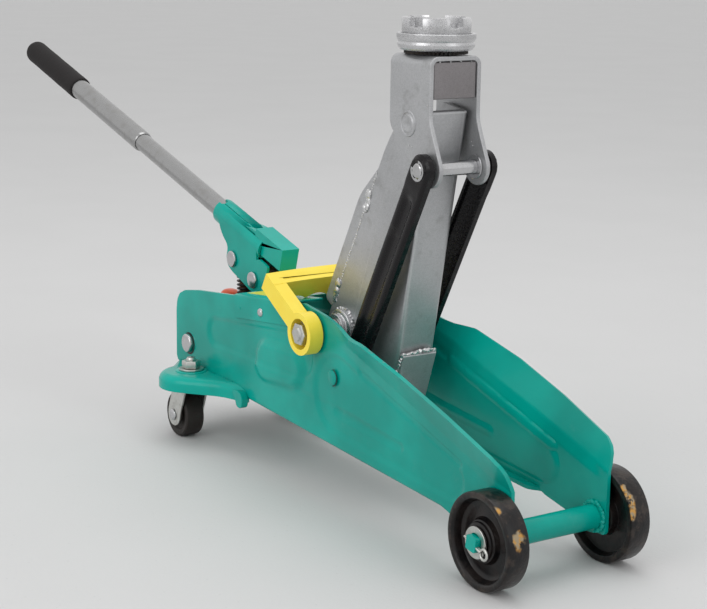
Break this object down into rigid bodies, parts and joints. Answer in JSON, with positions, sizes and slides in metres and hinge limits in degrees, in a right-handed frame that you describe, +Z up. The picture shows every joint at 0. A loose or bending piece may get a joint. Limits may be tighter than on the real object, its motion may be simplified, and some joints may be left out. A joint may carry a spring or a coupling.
{
  "type": "car jack",
  "caption": "Low hydraulic trolley jack: steel side plates, levelled lift arm with saddle, pump handle, front wheels and rear casters.",
  "frame": {"origin": "on the floor, under the middle of the overall box, midway between the side plates", "axes": "+X towards the front wheels, +Y towards the left side of the jack, +Z up"},
  "size_m": [0.8424, 0.157, 0.3482],
  "materials": {
    "green_paint": "gloss enamel, teal green",
    "silver_paint": "metallic silver-grey paint",
    "black_paint": "semi-gloss black enamel",
    "chrome": "bright plated, lightly scratched",
    "zinc": "bright zinc plate",
    "cast_iron": "rough casting, oiled and browned",
    "wheel_black": "black enamel, worn on the tread",
    "plug_red": "moulded",
    "grip_rubber": "foam rubber",
    "yellow_plastic": "moulded, satin"
  },
  "bodies": {
    "frame": {"front_axle": "green_paint", "arm_shaft": "zinc", "rear_cross_pin": "chrome", "top_cover": "green_paint", "pump_block": "cast_iron", "oil_cylinder": "green_paint", "cylinder_gland": "zinc", "oil_filler_plug": "plug_red", "side_plate_right": "green_paint", "caster_wing_right": "green_paint", "shaft_washer_right": "zinc", "shaft_nut_right": "zinc", "link_pin_right": "green_paint", "cover_rivet_right": "chrome", "wheel_washer_right": "zinc", "cotter_pin_right": "zinc", "caster_bolt_right": "zinc", "side_plate_left": "green_paint", "caster_wing_left": "green_paint", "shaft_washer_left": "zinc", "shaft_nut_left": "zinc", "link_pin_left": "green_paint", "cover_rivet_left": "chrome", "wheel_washer_left": "zinc", "cotter_pin_left": "zinc", "caster_bolt_left": "zinc"},
    "lift_arm_assembly": {"lift_arm": "silver_paint", "arm_back_plate": "silver_paint", "arm_toe_plate": "silver_paint", "arm_boss_right": "silver_paint", "arm_boss_left": "silver_paint", "ram_roller": "zinc"},
    "saddle_head": {"head_bracket": "silver_paint", "head_block": "silver_paint", "head_pivot_pin": "silver_paint", "head_link_pin": "chrome"},
    "saddle": {"saddle_ring": "silver_paint", "saddle_crown": "silver_paint"},
    "right_link": {"link_right": "black_paint"},
    "left_link": {"link_left": "black_paint"},
    "ram_rod": {"ram": "chrome"},
    "socket": {"handle_socket": "green_paint", "socket_pivot_pin": "chrome", "socket_plunger_pin": "chrome", "socket_screw": "green_paint"},
    "handle": {"handle_lower_tube": "chrome", "handle_upper_tube": "chrome", "handle_grip": "grip_rubber"},
    "plunger": {"pump_plunger": "cast_iron", "plunger_spring": "zinc"},
    "carry": {"carry_handle": "yellow_plastic"},
    "valve": {"release_valve": "zinc"},
    "right_front_wheel": {"front_wheel_right": "wheel_black"},
    "left_front_wheel": {"front_wheel_left": "wheel_black"},
    "right_caster": {"caster_fork_right": "zinc", "caster_axle_right": "zinc"},
    "left_caster": {"caster_fork_left": "zinc", "caster_axle_left": "zinc"},
    "right_caster_wheel": {"caster_wheel_right": "wheel_black"},
    "left_caster_wheel": {"caster_wheel_left": "wheel_black"}
  },
  "joints": [
    {"name": "arm_lift", "type": "hinge", "parent": "frame", "child": "lift_arm_assembly", "pos_m": [0.16944, 0, 0.1198], "axis": [0, 1, 0], "range_deg": [0, 80]},
    {"name": "head_level", "type": "hinge", "parent": "lift_arm_assembly", "child": "saddle_head", "pos_m": [0.25348, 0, 0.27785], "axis": [0, 1, 0], "range_deg": [-80, 0]},
    {"name": "saddle_turn", "type": "hinge", "parent": "saddle_head", "child": "saddle", "pos_m": [0.25448, 0, 0.32365], "axis": [0, 0, 1], "continuous": true},
    {"name": "right_link_swing", "type": "hinge", "parent": "frame", "child": "right_link", "pos_m": [0.19414, 0, 0.0915], "axis": [0, 1, 0], "range_deg": [0, 80]},
    {"name": "left_link_swing", "type": "hinge", "parent": "frame", "child": "left_link", "pos_m": [0.19414, 0, 0.0915], "axis": [0, 1, 0], "range_deg": [0, 80]},
    {"name": "ram_stroke", "type": "slide", "parent": "frame", "child": "ram_rod", "axis": [1, 0, 0], "range_m": [-0.05805, 0]},
    {"name": "handle_pump", "type": "hinge", "parent": "frame", "child": "socket", "pos_m": [0.03084, 0, 0.131], "axis": [0, 1, 0], "range_deg": [0, 38]},
    {"name": "plunger_stroke", "type": "slide", "parent": "frame", "child": "plunger", "axis": [0, 0, 1], "range_m": [0, 0.0176], "deforming": ["plunger_spring"]},
    {"name": "handle_pull_out", "type": "slide", "parent": "socket", "child": "handle", "axis": [-0.9632, 0, 0.2689], "range_m": [0, 0.025]},
    {"name": "carry_swing", "type": "hinge", "parent": "frame", "child": "carry", "pos_m": [0.16944, 0, 0.1198], "axis": [0, 1, 0], "range_deg": [0, 36]},
    {"name": "release_turn", "type": "hinge", "parent": "frame", "child": "valve", "pos_m": [-0.03826, 0.018, 0.0692], "axis": [1, 0, 0], "range_deg": [-360, 0]},
    {"name": "right_front_wheel_spin", "type": "hinge", "parent": "frame", "child": "right_front_wheel", "pos_m": [0.38974, -0.04985, 0.032], "axis": [0, 1, 0], "continuous": true},
    {"name": "left_front_wheel_spin", "type": "hinge", "parent": "frame", "child": "left_front_wheel", "pos_m": [0.38974, 0.04985, 0.032], "axis": [0, 1, 0], "continuous": true},
    {"name": "right_caster_swivel", "type": "hinge", "parent": "frame", "child": "right_caster", "pos_m": [0.00374, -0.0525, 0.045], "axis": [0, 0, 1], "continuous": true},
    {"name": "left_caster_swivel", "type": "hinge", "parent": "frame", "child": "left_caster", "pos_m": [0.00374, 0.0525, 0.045], "axis": [0, 0, 1], "continuous": true},
    {"name": "right_caster_wheel_spin", "type": "hinge", "parent": "right_caster", "child": "right_caster_wheel", "pos_m": [-0.00676, -0.0525, 0.0183], "axis": [0, 1, 0], "continuous": true},
    {"name": "left_caster_wheel_spin", "type": "hinge", "parent": "left_caster", "child": "left_caster_wheel", "pos_m": [-0.00676, 0.0525, 0.0183], "axis": [0, 1, 0], "continuous": true}
  ],
  "couplings": [
    {"joint": "head_level", "follows": "arm_lift", "ratio": -1},
    {"joint": "right_link_swing", "follows": "arm_lift", "ratio": 1},
    {"joint": "left_link_swing", "follows": "arm_lift", "ratio": 1},
    {"joint": "ram_stroke", "follows": "arm_lift", "m_per_rad": -0.04143},
    {"joint": "plunger_stroke", "follows": "handle_pump", "m_per_rad": 0.026}
  ]
}
